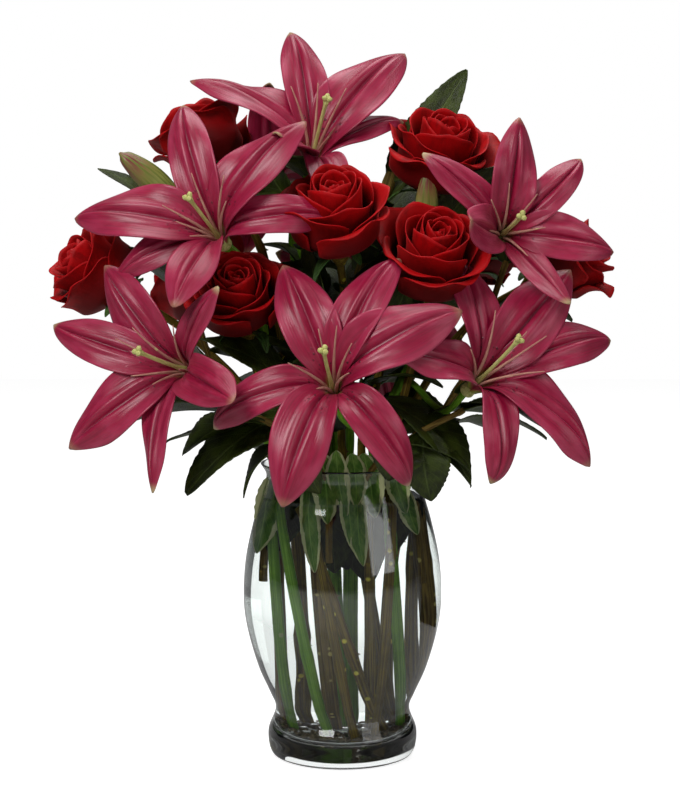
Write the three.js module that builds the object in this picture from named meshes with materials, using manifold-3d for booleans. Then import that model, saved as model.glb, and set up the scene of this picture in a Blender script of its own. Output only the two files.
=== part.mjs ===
// Lilies and roses standing in a clear glass vase of water.
// Millimetres, +Z up. The origin is the centre of the vase's flat underside, and -Y is the front.
// Each grown piece is one closed solid. Where two pieces would meet, the later one is cut back
// so that a gap of GAP stays between them.
import * as THREE from 'three';
import { mergeVertices } from 'three/addons/utils/BufferGeometryUtils.js';
import Module from 'manifold-3d';

const wasm = await Module();
wasm.setup();

// ---- driving dimensions -------------------------------------------------------------------

const GAP = 0.3;
// how far a cut piece's surface may shift when its smallest faces are merged
const SMOOTHING = 0.14;

const VASE_HEIGHT = 203;
const VASE_WALL = 3;
const VASE_SIDES = 26;
const FLOOR_TOP = 12;
const WAIST_HEIGHT = 34;
const WATER_LEVEL = 180;
const NECK_LEVEL = 190;

// the outside of the vase from the underside to the lip, as [radius, height]
const VASE_OUTLINE = [
  [43, 0], [50.5, 9], [50.5, 20], [45.8, WAIST_HEIGHT], [50, 45], [57.5, 62], [65, 88],
  [67.7, 108], [66.4, 136], [60.5, 164], [54.4, 185], [52, 195], [55.8, VASE_HEIGHT],
];
// the inside below the waist, from the wall to the middle of the floor
const FLOOR_OUTLINE = [[42.6, WAIST_HEIGHT], [43.4, 25], [39, 16.5], [28, 13], [0, FLOOR_TOP]];

const TEPAL_THICK = 1.3;
const TEPAL_START = 4.2;
const INNER_WIDTH = 0.37;
const OUTER_WIDTH = 0.27;
const THROAT_LEAN = 18;
const RECEPTACLE = { radius: 5, above: 1.4, below: 6 };
const PISTIL = { length: 58, style: 1.5, stigma: 3.1, base: 2.0 };
const FILAMENT = { radius: 0.65, length: 47, ring: 3.0 };

const ROSE = { cup: 42, belly: 25, rim: 20, flare: 34, hip: 7 };
const PETAL_THICK = 1.4;
const ROSE_PETALS = 5;

const LEAF_THICK = 1.1;
const STEM_SIDES = 6;

// Every lily: where its throat is, the way it faces (degrees round from the front towards +X,
// then upwards), and its six tepals as [clock angle, spread, curl, length]. Every second tepal
// is one of the three broad inner ones; `broad` says whether the first is.
const LILIES = [
  { throat: [-5, -88, 259], turn: -10, tilt: 32, broad: true, tepals: [
    [340, 70, 55, 97], [20, 75, 75, 112], [55, 80, 45, 107],
    [130, 107, 85, 103], [200, 93, 45, 100], [255, 90, 85, 100]] },
  { throat: [-99, -70, 271], turn: -35, tilt: 14, broad: true, tepals: [
    [320, 70, 45, 96], [280, 65, 60, 107], [220, 68, 40, 98],
    [178, 74, 35, 94], [105, 70, 18, 80], [35, 60, 40, 76]] },
  { throat: [84, -62, 260], turn: 40, tilt: 34, broad: true, tepals: [
    [50, 55, 40, 108], [85, 60, 70, 115], [142, 76, 65, 105],
    [195, 95, 95, 88], [280, 80, 60, 80], [5, 73, 65, 104]] },
  { throat: [-79, -50, 355], turn: -22, tilt: 30, broad: true, tepals: [
    [273, 70, 65, 110], [340, 68, 70, 108], [33, 77, 50, 105],
    [80, 97, 90, 95], [177, 60, 38, 84], [240, 76, 55, 80]] },
  { throat: [-22, 5, 405], turn: 16, tilt: 49, broad: true, tepals: [
    [307, 74, 53, 108], [355, 61, 60, 106], [46, 60, 57, 112],
    [80, 66, 65, 76], [176, 79, 55, 78], [222, 44, 12, 80]] },
  { throat: [105, -25, 358], turn: 12, tilt: 13, broad: false, tepals: [
    [316, 75, 43, 84], [2, 68, 50, 84], [53, 76, 75, 84],
    [99, 74, 74, 86], [162, 51, 22, 80], [254, 28, 5, 83]] },
  { throat: [22, 84, 292], turn: 172, tilt: 22, broad: true, tepals: [
    [2, 78, 60, 98], [58, 82, 72, 100], [118, 86, 55, 96],
    [182, 90, 64, 94], [240, 84, 70, 97], [303, 76, 58, 95]] },
  { throat: [-48, 74, 388], turn: 205, tilt: 42, broad: false, tepals: [
    [8, 70, 60, 88], [66, 74, 66, 92], [124, 82, 60, 90],
    [186, 84, 52, 86], [246, 76, 70, 90], [306, 68, 62, 88]] },
];

// Every rose: the middle of its rim, the way it faces, its size against ROSE, and the foot
// and neck of its stem as [x, y] on the vase floor and at NECK_LEVEL.
const ROSES = [
  { rim: [-92, 22, 428], turn: -125, tilt: 58, size: 1.0, foot: [-26, 14], neck: [-34, 18] },
  { rim: [66, 8, 420], turn: 25, tilt: 62, size: 1.05, foot: [14, 6], neck: [14, -4] },
  { rim: [-4, -50, 380], turn: -8, tilt: 58, size: 1.05, foot: [26, 11], neck: [3, 8] },
  { rim: [60, -52, 350], turn: 12, tilt: 52, size: 1.05, foot: [20, -26], neck: [31, -25] },
  { rim: [-67, -46, 322], turn: -12, tilt: 50, size: 0.95, foot: [8, -30], neck: [-22, -35] },
  { rim: [-172, -2, 333], turn: -72, tilt: 34, size: 0.95, foot: [24, -9], neck: [-29, -13] },
  { rim: [160, 16, 342], turn: 82, tilt: 34, size: 0.95, foot: [28, 25], neck: [36, 14] },
  { rim: [-98, 86, 322], turn: 218, tilt: 36, size: 1.0, foot: [-15, 25], neck: [-22, 31] },
  { rim: [98, 84, 352], turn: 150, tilt: 42, size: 1.0, foot: [15, 33], neck: [25, 33] },
];
const ROSE_STEM_RADIUS = 3;

// Every lily stem: foot and neck as for the roses, the lily that ends it, and the flowers or
// buds on side shoots that leave it at the given share of its height above the neck.
const LILY_STEMS = [
  { foot: [-28, -7], neck: [-41, -3], top: 'lily_4', shoots: [[0.75, 'bud_1']] },
  { foot: [-8, -21], neck: [-41, -19], top: 'lily_2', shoots: [] },
  { foot: [33, -2], neck: [24, -10], top: 'lily_6', shoots: [[0.1, 'lily_1'], [0.4, 'lily_3']] },
  { foot: [0, 17], neck: [-6, 17], top: 'lily_5', shoots: [[0.75, 'bud_2']] },
  { foot: [3, 32], neck: [4, 38], top: 'lily_8', shoots: [[0.45, 'lily_7']] },
];
const LILY_STEM_RADIUS = 3.4;
const SHOOT_RADIUS = 2.4;

const BUDS = [
  { base: [-112, -4, 380], turn: -70, tilt: 40, length: 52, radius: 9 },
  { base: [56, -8, 362], turn: 5, tilt: 78, length: 40, radius: 7.5 },
];

// Every woody sprig: the points that its stem passes, its radius, and its leaves as
// [share of the stem, tip x, tip y, tip z, width, roll, sag].
const SPRIGS = [
  { name: 'sprig_centre', radius: 4.3,
    route: [[-4, -4, 15], [-14, 0, NECK_LEVEL], [4, 30, 300], [34, 34, 400]],
    leaves: [[0.98, 84, 22, 470, 30, 20, 8], [0.9, 92, 12, 418, 34, -30, 10],
      [0.86, -40, 20, 420, 34, 40, 10], [0.75, 60, 62, 400, 36, 160, 8],
      [0.62, -10, 88, 350, 34, 180, 10]] },
  { name: 'sprig_front_left', radius: 2.2,
    route: [[-8, -40, 140], [-12, -42, 196], [-40, -66, 232], [-76, -70, 250]],
    leaves: [[0.55, -66, -62, 188, 40, 0, 10], [0.75, -106, -52, 216, 38, -20, 8],
      [0.98, -146, -34, 238, 34, 10, 8], [0.6, -20, -64, 206, 34, 20, 8]] },
  { name: 'sprig_front_right', radius: 2.2,
    route: [[14, -38, 140], [16, -42, 196], [44, -62, 226], [80, -52, 244]],
    leaves: [[0.55, 84, -66, 206, 36, 0, 8], [0.75, 58, -70, 186, 34, 10, 8],
      [0.98, 134, -28, 232, 32, 0, 8], [0.6, 30, -72, 200, 36, -10, 10]] },
  { name: 'sprig_left', radius: 2.4,
    route: [[-40, 8, 120], [-43, 6, 192], [-86, 14, 260], [-112, 8, 350]],
    leaves: [[0.99, -164, 4, 404, 28, 20, 8], [0.85, -160, -6, 352, 30, -20, 8],
      [0.6, -152, -6, 262, 36, -20, 12], [0.62, -110, 66, 268, 36, 120, 12],
      [0.4, -118, -22, 222, 38, -10, 10]] },
  { name: 'sprig_right', radius: 2.4,
    route: [[42, 0, 120], [43, 2, 192], [84, 12, 262], [112, 12, 340]],
    leaves: [[0.99, 118, 2, 418, 30, 10, 8], [0.85, 158, 20, 300, 32, 20, 10],
      [0.6, 146, -14, 240, 34, 30, 10], [0.62, 120, 70, 280, 36, -120, 12],
      [0.42, 110, 30, 222, 38, 10, 12]] },
  { name: 'sprig_back', radius: 2.4,
    route: [[-2, 43, 130], [-8, 44, 194], [-20, 72, 240], [-40, 96, 290]],
    leaves: [[0.98, -72, 112, 340, 34, 180, 10], [0.7, -84, 100, 244, 40, 160, 12],
      [0.55, 44, 104, 216, 40, 190, 12], [0.45, -30, 104, 202, 40, 180, 12],
      [0.85, 20, 124, 268, 34, 200, 8]] },
];

// a pruned thick branch end that leans on the glass under the water
const STUB = { radius: 5.4, route: [[30, 7, 19], [43, 9, 76], [38, 9, 166]] };

// ---- solids -------------------------------------------------------------------------------

const vec = (x, y, z) => new THREE.Vector3(x, y, z);
const point = ([x, y, z]) => vec(x, y, z);
const radians = THREE.MathUtils.degToRad;
const { clamp, lerp, smoothstep } = THREE.MathUtils;

function solidOf(geometry) {
  geometry.deleteAttribute('normal');
  geometry.deleteAttribute('uv');
  const merged = mergeVertices(geometry, 1e-3);
  return new wasm.Manifold(new wasm.Mesh({
    numProp: 3,
    vertProperties: merged.attributes.position.array,
    triVerts: Uint32Array.from(merged.index.array),
  }));
}

function geometryOf(solid) {
  const mesh = solid.getMesh();
  const geometry = new THREE.BufferGeometry();
  geometry.setAttribute('position', new THREE.BufferAttribute(mesh.vertProperties, 3));
  geometry.setIndex(new THREE.BufferAttribute(mesh.triVerts, 1));
  geometry.computeVertexNormals();
  return geometry;
}

const joined = (solids) => solids.reduce((all, one) => all.add(one));

// the way a flower faces: degrees round from the front towards +X, then degrees upwards
function facing(turn, tilt) {
  const round = radians(turn);
  const level = Math.cos(radians(tilt));
  return vec(Math.sin(round) * level, -Math.cos(round) * level, Math.sin(radians(tilt)));
}

// the up and right directions across an axis, as seen by someone it faces
function across(axis) {
  const up = vec(0, 0, 1).addScaledVector(axis, -axis.z).normalize();
  const right = vec().crossVectors(up, axis);
  return { up, right };
}

// a solid of revolution about an axis that starts at `base`; the outline is [radius, along]
function turned(outline, sides, base, axis) {
  const points = outline.map(([radius, along]) => new THREE.Vector2(radius, along));
  const geometry = new THREE.LatheGeometry(points, sides);
  geometry.applyQuaternion(new THREE.Quaternion().setFromUnitVectors(vec(0, 1, 0), axis));
  geometry.translate(base.x, base.y, base.z);
  return solidOf(geometry);
}

// a round rod of even thickness along a list of points, made bigger all over by `grow`
function rod(points, radius, sides, steps, grow) {
  const round = radius + grow;
  const circle = Array.from({ length: sides }, (_, i) => new THREE.Vector2(
    round * Math.cos(2 * Math.PI * i / sides), round * Math.sin(2 * Math.PI * i / sides)));
  const beyond = (end, next) => end.clone().add(end.clone().sub(next).setLength(grow));
  const stretched = [beyond(points[0], points[1]), ...points.slice(1, -1),
    beyond(points.at(-1), points.at(-2))];
  const path = new THREE.CatmullRomCurve3(grow > 0 ? stretched : points, false, 'centripetal');
  return solidOf(new THREE.ExtrudeGeometry(
    new THREE.Shape(circle), { steps, bevelEnabled: false, extrudePath: path }));
}

// a thin sheet of even thickness over the surface (t along 0..1, v across -1..1), made bigger
// all over by `grow`
function sheet(surface, alongSteps, acrossSteps, thickness, grow) {
  const geometry = new THREE.BoxGeometry(1, 1, 1, alongSteps, acrossSteps, 1);
  const place = geometry.attributes.position;
  const step = 0.01;
  for (let i = 0; i < place.count; i += 1) {
    const t = place.getX(i) + 0.5;
    const v = 2 * place.getY(i);
    const side = Math.sign(place.getZ(i));
    const along = surface(t + step, v).sub(surface(t - step, v)).normalize();
    const sideways = surface(t, v + step).sub(surface(t, v - step)).normalize();
    const normal = vec().crossVectors(along, sideways).normalize();
    const spot = surface(t, v).addScaledVector(normal, side * (thickness / 2 + grow));
    spot.addScaledVector(along, Math.abs(t - 0.5) > 0.49 ? Math.sign(t - 0.5) * grow : 0);
    spot.addScaledVector(sideways, Math.abs(v) > 0.99 ? Math.sign(v) * grow : 0);
    place.setXYZ(i, spot.x, spot.y, spot.z);
  }
  return solidOf(geometry);
}

// the middle line of a petal that leaves its axis by the angle lean(t), as spots and directions
function petalLine(start, axis, outward, lean, length) {
  const steps = 24;
  const spots = [start.clone()];
  for (let i = 0; i < steps; i += 1) {
    const angle = radians(lean((i + 0.5) / steps));
    spots.push(spots[i].clone()
      .addScaledVector(axis, Math.cos(angle) * length / steps)
      .addScaledVector(outward, Math.sin(angle) * length / steps));
  }
  return (t) => {
    const i = clamp(Math.floor(t * steps), 0, steps - 1);
    return spots[i].clone().lerp(spots[i + 1], t * steps - i);
  };
}

// ---- vase and water -----------------------------------------------------------------------

function vaseOutside() {
  const control = VASE_OUTLINE.map(([radius, height]) => new THREE.Vector2(radius, height));
  return new THREE.SplineCurve(control).getPoints(13).map(({ x, y }) => [x, y]);
}

// the inside, from the lip down to the middle of the floor, brought inwards by `inset`
function vaseInside(inset) {
  const wall = vaseOutside()
    .filter(([, height]) => height > WAIST_HEIGHT + 2 && height < VASE_HEIGHT - 1)
    .map(([radius, height]) => [radius - VASE_WALL, height]);
  return [...wall.reverse(), ...FLOOR_OUTLINE].map(([radius, height]) => {
    const lift = height < WAIST_HEIGHT ? inset : 0;
    return [Math.max(radius - inset, 0), height + lift];
  });
}

const UP = vec(0, 0, 1);

function vase(grow = 0) {
  const lip = [[54.2, VASE_HEIGHT + grow], [53 - grow, VASE_HEIGHT - 1]];
  const outside = vaseOutside().map(([radius, height]) => [radius + grow, height]);
  return turned([[0, 0], ...outside, ...lip, ...vaseInside(grow)], VASE_SIDES, vec(0, 0, 0), UP);
}

function water() {
  const inside = vaseInside(2 * GAP).reverse();
  const above = inside.findIndex(([, height]) => height > WATER_LEVEL);
  const [low, high] = [inside[above - 1], inside[above]];
  const edge = lerp(low[0], high[0], (WATER_LEVEL - low[1]) / (high[1] - low[1]));
  const outline = [...inside.slice(0, above), [edge, WATER_LEVEL], [0, WATER_LEVEL]];
  return turned(outline, VASE_SIDES, vec(0, 0, 0), UP);
}

// ---- lilies -------------------------------------------------------------------------------

function tepal(lily, [clock, spread, curl, length], broad, grow) {
  const axis = facing(lily.turn, lily.tilt);
  const { up, right } = across(axis);
  const outward = up.clone().multiplyScalar(Math.cos(radians(clock)))
    .addScaledVector(right, Math.sin(radians(clock)));
  const sideways = vec().crossVectors(outward, axis);
  const lean = (t) => THROAT_LEAN + (spread - THROAT_LEAN) * smoothstep(t, 0, 0.45)
    + curl * clamp((t - 0.4) / 0.6, 0, 1) ** 2;
  const start = point(lily.throat).addScaledVector(outward, TEPAL_START - (broad ? 0.6 : 0));
  const line = petalLine(start, axis, outward, lean, length);
  const half = length * (broad ? INNER_WIDTH : OUTER_WIDTH) / 2;
  const surface = (t, v) => {
    const width = 2.2 + half * Math.sin(Math.PI * clamp(t, 0, 1) ** 0.85) ** 0.8;
    const angle = radians(lean(t));
    const cup = 0.35 * width * v * v * (1 - t);
    return line(t).addScaledVector(sideways, v * width)
      .addScaledVector(axis, cup * Math.sin(angle))
      .addScaledVector(outward, -cup * Math.cos(angle));
  };
  return sheet(surface, 4, broad ? 2 : 1, TEPAL_THICK, grow);
}

function lilyTepals(lily, grow = 0) {
  const axis = facing(lily.turn, lily.tilt);
  const base = point(lily.throat);
  const { radius, above, below } = RECEPTACLE;
  const receptacle = turned([[0, -below - grow], [radius * 0.6 + grow, -below - grow],
    [radius + grow, -1], [radius + grow, above + grow], [0, above + grow]], 8, base, axis);
  const tepals = lily.tepals.map((row, i) => tepal(lily, row, (i % 2 === 0) === lily.broad, grow));
  return joined([receptacle, ...tepals]);
}

function lilyPistil(lily, grow = 0) {
  const { length, style, stigma, base } = PISTIL;
  const bottom = RECEPTACLE.above + GAP - grow;
  const outline = [[0, bottom], [base + grow, bottom], [style + grow, 12],
    [style + grow, length - 6], [stigma + grow, length - 2], [stigma * 0.7 + grow, length + grow],
    [0, length + grow]];
  return turned(outline, 6, point(lily.throat), facing(lily.turn, lily.tilt));
}

function lilyStamens(lily, grow = 0) {
  const axis = facing(lily.turn, lily.tilt);
  const { up, right } = across(axis);
  const base = point(lily.throat);
  const { radius, length, ring } = FILAMENT;
  const low = RECEPTACLE.above + GAP;
  const inner = PISTIL.base + GAP;
  const collar = turned([[inner, low], [ring + 0.4 + grow, low], [ring + 0.4 + grow, low + 2],
    [inner, low + 2], [inner, low]], 6, base, axis);
  const filaments = lily.tepals.map(([clock, , , size]) => {
    const outward = up.clone().multiplyScalar(Math.cos(radians(clock)))
      .addScaledVector(right, Math.sin(radians(clock)));
    const spot = (along, out) => base.clone()
      .addScaledVector(axis, along)
      .addScaledVector(outward, out);
    const reach = length * size / 100;
    return rod([spot(low + 0.8, ring - 0.2), spot(reach * 0.45, ring + 4), spot(reach, ring + 20)],
      radius, 3, 2, grow);
  });
  return joined([collar, ...filaments]);
}

// ---- roses --------------------------------------------------------------------------------

const roseBase = (rose) => point(rose.rim)
  .addScaledVector(facing(rose.turn, rose.tilt), -ROSE.cup * rose.size);

function roseBloom(rose, grow = 0) {
  const axis = facing(rose.turn, rose.tilt);
  const { up, right } = across(axis);
  const base = roseBase(rose);
  const { size } = rose;
  const { cup, belly, rim, flare } = ROSE;
  const heart = turned([[0, 2 - grow], [8 * size + grow, 3 - grow],
    [belly * 0.85 * size + grow, cup * 0.35 * size], [belly * size + grow, cup * 0.7 * size],
    [rim * size + grow, (cup + 3) * size + grow], [0, (cup + 1) * size + grow]], 8, base, axis);
  const petals = Array.from({ length: ROSE_PETALS }, (_, i) => {
    const clock = radians(i * 360 / ROSE_PETALS + rose.turn);
    const outward = up.clone().multiplyScalar(Math.cos(clock)).addScaledVector(right, Math.sin(clock));
    const sideways = vec().crossVectors(outward, axis);
    const surface = (t, v) => {
      const out = lerp(9, flare, clamp(t, 0, 1.1) ** 1.6) * size;
      const high = (3 + cup * 0.96 * Math.sin(t * 1.9)) * size;
      const turn = v * lerp(0.5, 0.62, t);
      return base.clone().addScaledVector(axis, high)
        .addScaledVector(outward, out * Math.cos(turn))
        .addScaledVector(sideways, out * Math.sin(turn));
    };
    return sheet(surface, 2, 2, PETAL_THICK, grow);
  });
  return joined([heart, ...petals]);
}

// the route of a stem: straight up through the vase, then bending over to meet its flower
function stemRoute(foot, neck, end, axis) {
  const low = vec(foot[0], foot[1], FLOOR_TOP + 4);
  const high = vec(neck[0], neck[1], NECK_LEVEL);
  const reach = end.distanceTo(high);
  const before = end.clone().addScaledVector(axis, -0.3 * reach);
  const rise = high.clone().sub(low).normalize();
  const after = high.clone().addScaledVector(rise, 0.18 * reach);
  return [low, low.clone().lerp(high, 0.5), high, after, before, end];
}

function roseStem(rose, grow = 0) {
  const axis = facing(rose.turn, rose.tilt);
  const base = roseBase(rose);
  const end = base.clone().addScaledVector(axis, -ROSE.hip);
  const stem = rod(stemRoute(rose.foot, rose.neck, end, axis), ROSE_STEM_RADIUS, STEM_SIDES, 9, grow);
  const hip = turned([[0, -ROSE.hip - 3], [3.2 + grow, -ROSE.hip - 3], [6.5 + grow, -2],
    [5 + grow, 1.6 + grow], [0, 1.6 + grow]], 8, base, axis);
  return joined([stem, hip]);
}

// ---- lily stems and buds ------------------------------------------------------------------

function shootEnd(name) {
  const number = Number(name.split('_')[1]) - 1;
  if (name.startsWith('lily')) {
    const lily = LILIES[number];
    const axis = facing(lily.turn, lily.tilt);
    return { axis, end: point(lily.throat).addScaledVector(axis, -RECEPTACLE.below - GAP) };
  }
  const { base, turn, tilt } = BUDS[number];
  const axis = facing(turn, tilt);
  return { axis, end: point(base).addScaledVector(axis, -GAP) };
}

function lilyStem({ foot, neck, top, shoots }, grow = 0) {
  const { axis, end } = shootEnd(top);
  const route = stemRoute(foot, neck, end, axis);
  const main = rod(route, LILY_STEM_RADIUS, STEM_SIDES, 10, grow);
  const path = new THREE.CatmullRomCurve3(route.slice(2), false, 'centripetal');
  const side = shoots.map(([share, name]) => {
    const shoot = shootEnd(name);
    const start = path.getPoint(share);
    const length = start.distanceTo(shoot.end);
    const leave = start.clone().addScaledVector(path.getTangent(share), 0.2 * length);
    const arrive = shoot.end.clone().addScaledVector(shoot.axis, -0.35 * length);
    return rod([start, leave, arrive, shoot.end], SHOOT_RADIUS, 5, 5, grow);
  });
  return joined([main, ...side]);
}

function bud({ base, turn, tilt, length, radius }, grow = 0) {
  const outline = [[0, -grow], [radius * 0.35 + grow, -grow], [radius * 0.8 + grow, length * 0.18],
    [radius + grow, length * 0.45], [radius * 0.75 + grow, length * 0.78],
    [radius * 0.2 + grow, length + grow], [0, length + grow]];
  return turned(outline, 8, point(base), facing(turn, tilt));
}

// ---- foliage ------------------------------------------------------------------------------

function leaf(start, tip, width, roll, sag, grow) {
  const chord = tip.clone().sub(start);
  const length = chord.length();
  const along = chord.clone().normalize();
  const flat = vec().crossVectors(along, UP).normalize();
  const lift = vec().crossVectors(flat, along);
  const sideways = flat.clone().multiplyScalar(Math.cos(radians(roll)))
    .addScaledVector(lift, Math.sin(radians(roll)));
  const face = vec().crossVectors(sideways, along);
  const surface = (t, v) => {
    const half = 1.2 + width / 2 * Math.sin(Math.PI * clamp(t, 0, 1) ** 0.8) ** 0.75;
    return start.clone().addScaledVector(along, t * length)
      .addScaledVector(lift, sag * Math.sin(Math.PI * clamp(t, 0, 1)))
      .addScaledVector(sideways, v * half)
      .addScaledVector(face, 0.18 * half * v * v);
  };
  return sheet(surface, 3, 2, LEAF_THICK, grow);
}

function sprig({ route, radius, leaves }, grow = 0) {
  const points = route.map(point);
  const path = new THREE.CatmullRomCurve3(points, false, 'centripetal');
  const stem = rod(points, radius, STEM_SIDES, 8, grow);
  const blades = leaves.map(([share, x, y, z, width, roll, sag]) =>
    leaf(path.getPoint(share), vec(x, y, z), width, roll, sag, grow));
  return joined([stem, ...blades]);
}

function stub(grow = 0) {
  return rod(STUB.route.map(point), STUB.radius, 8, 4, grow);
}

// ---- assembly -----------------------------------------------------------------------------

const finish = (color, roughness, metalness = 0) => ({ color, roughness, metalness });
const GLASS = finish('#dfe9ea', 0.05);
const WATER = finish('#e9f2ef', 0.05);
const TEPAL = finish('#8a1c3e', 0.45);
const PISTIL_GREEN = finish('#c9cf7a', 0.5);
const FILAMENT_PINK = finish('#b9697a', 0.5);
const ROSE_RED = finish('#a10a12', 0.6);
const STEM_GREEN = finish('#5f8f34', 0.5);
const BARK = finish('#5b4a22', 0.7);
const LEAF_GREEN = finish('#2f5a22', 0.45);
const BUD_GREEN = finish('#7f8f3f', 0.5);

const numbered = (list, name, build, look) =>
  list.map((row, i) => ({ name: `${name}_${i + 1}`, build: (grow) => build(row, grow), look }));

// the order says who gives way: a piece is cut back from every piece before it
const PIECES = [
  { name: 'vase', build: vase, look: GLASS },
  { name: 'branch_stub', build: stub, look: BARK },
  ...numbered(LILY_STEMS, 'lily_stem', lilyStem, STEM_GREEN),
  ...numbered(ROSES, 'rose_stem', roseStem, BARK),
  ...numbered(LILIES, 'lily_pistil', lilyPistil, PISTIL_GREEN),
  ...numbered(LILIES, 'lily_stamens', lilyStamens, FILAMENT_PINK),
  ...numbered(LILIES, 'lily_tepals', lilyTepals, TEPAL),
  ...numbered(BUDS, 'lily_bud', bud, BUD_GREEN),
  ...numbered(ROSES, 'rose_bloom', roseBloom, ROSE_RED),
  ...SPRIGS.map((row) => ({ name: row.name, build: (grow) => sprig(row, grow), look: LEAF_GREEN })),
  { name: 'water', build: water, look: WATER },
];

const boxOf = (solid) => {
  const { min, max } = solid.boundingBox();
  return new THREE.Box3(vec(...min), vec(...max));
};

const larger = (one, other) => (one.volume() > other.volume() ? one : other);

const largest = (solid) => solid.decompose().reduce(larger);

const bouquet = new THREE.Group();
const placed = [];
for (const { name, build, look } of PIECES) {
  let solid = build(0);
  const box = boxOf(solid);
  for (const other of placed) {
    if (box.intersectsBox(other.box)) {
      solid = solid.subtract(other.cutter);
    }
  }
  if (placed.length > 0) {
    solid = largest(solid.asOriginal().simplify(SMOOTHING));
  }
  const cutter = build(GAP).add(solid);
  placed.push({ name, cutter, box: boxOf(cutter) });
  const mesh = new THREE.Mesh(geometryOf(solid), new THREE.MeshStandardMaterial(look));
  mesh.name = name;
  bouquet.add(mesh);
}

export default bouquet;
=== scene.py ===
"""Burgundy lilies and red roses in a clear glass vase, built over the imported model."""

import random
from math import cos, exp, pi, radians, sin, sqrt

import bpy
from mathutils import Euler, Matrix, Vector
from mathutils.geometry import interpolate_bezier


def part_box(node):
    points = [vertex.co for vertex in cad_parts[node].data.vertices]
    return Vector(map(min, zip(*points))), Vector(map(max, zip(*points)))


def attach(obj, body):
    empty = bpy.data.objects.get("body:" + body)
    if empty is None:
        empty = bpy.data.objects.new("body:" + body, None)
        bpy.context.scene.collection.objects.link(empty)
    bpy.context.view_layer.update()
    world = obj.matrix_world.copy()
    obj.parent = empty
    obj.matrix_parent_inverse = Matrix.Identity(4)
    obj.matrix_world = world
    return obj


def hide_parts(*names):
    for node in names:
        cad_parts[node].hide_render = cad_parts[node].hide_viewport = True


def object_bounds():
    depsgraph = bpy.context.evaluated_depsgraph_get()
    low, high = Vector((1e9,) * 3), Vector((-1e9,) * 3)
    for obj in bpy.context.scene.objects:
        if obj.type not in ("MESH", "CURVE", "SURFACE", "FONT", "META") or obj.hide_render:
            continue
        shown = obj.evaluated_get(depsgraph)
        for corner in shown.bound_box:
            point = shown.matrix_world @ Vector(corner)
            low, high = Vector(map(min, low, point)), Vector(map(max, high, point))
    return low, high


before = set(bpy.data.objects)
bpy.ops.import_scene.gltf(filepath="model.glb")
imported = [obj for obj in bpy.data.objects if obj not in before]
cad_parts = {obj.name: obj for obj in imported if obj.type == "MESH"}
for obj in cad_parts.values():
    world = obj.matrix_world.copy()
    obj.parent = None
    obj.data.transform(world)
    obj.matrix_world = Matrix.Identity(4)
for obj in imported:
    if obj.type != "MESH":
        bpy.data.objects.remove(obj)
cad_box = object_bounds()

bl_info = {
    "name": "Lilies in a Vase",
    "version": (1, 0, 0),
    "blender": (4, 5, 0),
    "location": "View3D > Sidebar > Bouquet",
    "description": "Makes a bunch of lilies and roses in a glass vase",
    "category": "Add Mesh",
}

MM = 0.001
VASE_LOW, VASE_HIGH = (Vector(corner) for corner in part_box("vase"))
VASE_HEIGHT = VASE_HIGH.z - VASE_LOW.z
WATER_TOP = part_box("water")[1][2]
NECK_LEVEL = WATER_TOP + 10 * MM
UP = Vector((0, 0, 1))
FRONT = Vector((0, -1, 0))

# the outside and the inside of the vase as [radius, height], in shares of the vase's height
OUTSIDE = [
    (0.212, 0), (0.236, 0.012), (0.249, 0.045), (0.25, 0.095), (0.226, 0.167), (0.246, 0.222),
    (0.283, 0.305), (0.32, 0.433), (0.3335, 0.532), (0.327, 0.67), (0.298, 0.808),
    (0.268, 0.911), (0.256, 0.961), (0.275, 0.998),
]
FLOOR = [(0.212, 0.17), (0.214, 0.125), (0.195, 0.083), (0.14, 0.066), (0.07, 0.062)]
WALL = 0.0135
LIP_INSIDE = 0.99
TURNED_SIDES = 128
# the radius, in metres, at which a turned outline is closed by a flat disc
HUB = 0.01
# how far the water reaches into the glass, so that no air shows between them
WATER_BITE = 0.25 * MM

# the lights as (name, place, size, share of the main light's power)
LIGHTS = [
    ("key", (-0.8, -1.5, 1.5), (0.9, 0.9), 1.0),
    ("fill", (1.5, -1.3, 0.8), (1.1, 1.1), 0.25),
    ("top", (0.1, 0.4, 1.9), (1.4, 1.4), 0.8),
]

# the dark cards behind the vase as (name, place, size, turn)
CARDS = [
    ("card_right", (0.275, 0.159, 0.002), (0.3, 0.4), -60),
    ("card_left", (-0.333, 0.089, 0.002), (0.09, 0.4), 75),
]
FLOOR_REACH = 3.0
FLOOR_GLOW = 0.88
WORLD_LIGHT = 0.12
CAMERA_PLACE = (-0.0017, -1.6, 0.151)
CAMERA_DIP = 5.4
CAMERA_LENS = 107

# every finish of stems and grit: its dark, light and speck colours, the share of specks that
# show, and its roughness
STEM_FINISHES = {
    "grit": ((0.1, 0.07, 0.035), (0.46, 0.38, 0.26), (0.6, 0.55, 0.45), 0.25, 0.8),
    "pistil_green": ((0.4, 0.41, 0.12), (0.72, 0.68, 0.28), (0.8, 0.76, 0.44), 0.1, 0.4),
    "filament_pink": ((0.42, 0.15, 0.13), (0.66, 0.42, 0.3), (0.6, 0.52, 0.25), 0.15, 0.45),
    "lily_stalk": ((0.11, 0.29, 0.014), (0.27, 0.54, 0.05), (0.34, 0.46, 0.12), 0.05, 0.38),
    "rose_stalk": ((0.12, 0.076, 0.012), (0.34, 0.24, 0.032), (0.85, 0.74, 0.08), 0.3, 0.5),
    "branch_bark": ((0.11, 0.07, 0.016), (0.33, 0.225, 0.055), (0.7, 0.58, 0.16), 0.24, 0.6),
}

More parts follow.
